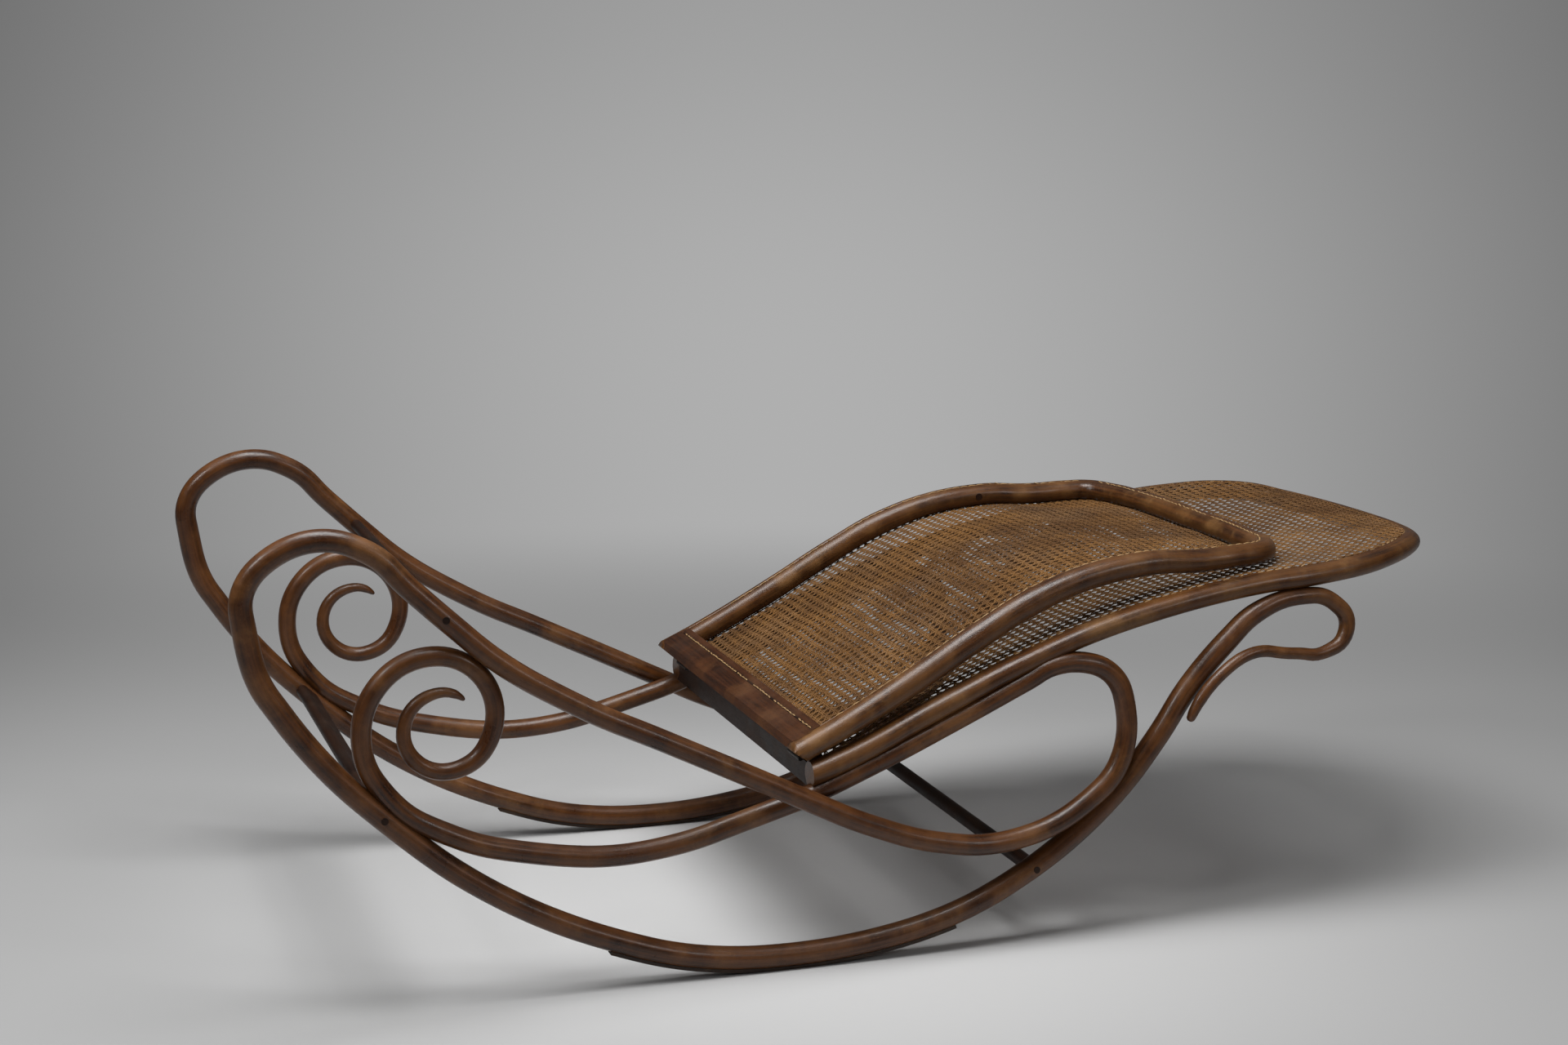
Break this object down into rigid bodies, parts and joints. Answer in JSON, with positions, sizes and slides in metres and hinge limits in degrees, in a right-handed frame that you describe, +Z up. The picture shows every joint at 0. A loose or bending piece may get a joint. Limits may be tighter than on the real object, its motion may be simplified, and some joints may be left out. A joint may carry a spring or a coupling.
{
  "type": "rocking chaise",
  "caption": "Rocking chaise of bent wood rods in sweeping scrolls, with a caned seat and a hinged caned back folded down on it.",
  "frame": {"origin": "on the floor under the middle of the whole chaise's length and width", "axes": "+X towards the seat's foot end, head loops at -X, +Y to the left side of someone lying on it, +Z up"},
  "size_m": [1.6774, 0.7064, 0.5931],
  "materials": {
    "stained_beech": "satin",
    "dark_stained_beech": "satin",
    "seat_beech": "satin",
    "split_cane": "matte",
    "dark_iron": "satin"
  },
  "bodies": {
    "frame": {"left_rocker_rod": "stained_beech", "left_arm_rod": "stained_beech", "left_scroll_rod": "stained_beech", "left_runner_strip": "dark_stained_beech", "right_rocker_rod": "stained_beech", "right_arm_rod": "stained_beech", "right_scroll_rod": "stained_beech", "right_runner_strip": "dark_stained_beech", "head_bar": "dark_stained_beech", "lower_cross_board": "dark_stained_beech", "foot_stretcher": "dark_stained_beech", "cross_member_screws": "dark_iron", "screw_plugs": "dark_stained_beech", "seat_rail": "seat_beech", "seat_end_board": "dark_stained_beech", "seat_cane": "split_cane", "seat_rail_screws": "dark_iron", "end_board_screws": "dark_iron", "hinge_seat_leaves": "dark_iron", "hinge_pins": "dark_iron", "seat_leaf_screws": "dark_iron"},
    "back": {"hinge_back_leaves": "dark_iron", "back_leaf_screws": "dark_iron", "back_rail": "seat_beech", "back_head_board": "seat_beech", "back_cane": "split_cane", "head_board_dowels": "seat_beech", "back_rail_pegs": "dark_stained_beech"}
  },
  "joints": [
    {"name": "back_hinge", "type": "hinge", "parent": "frame", "child": "back", "pos_m": [-0.13336, 0, 0.25731], "axis": [0, -1, 0], "range_deg": [0, 122]}
  ]
}
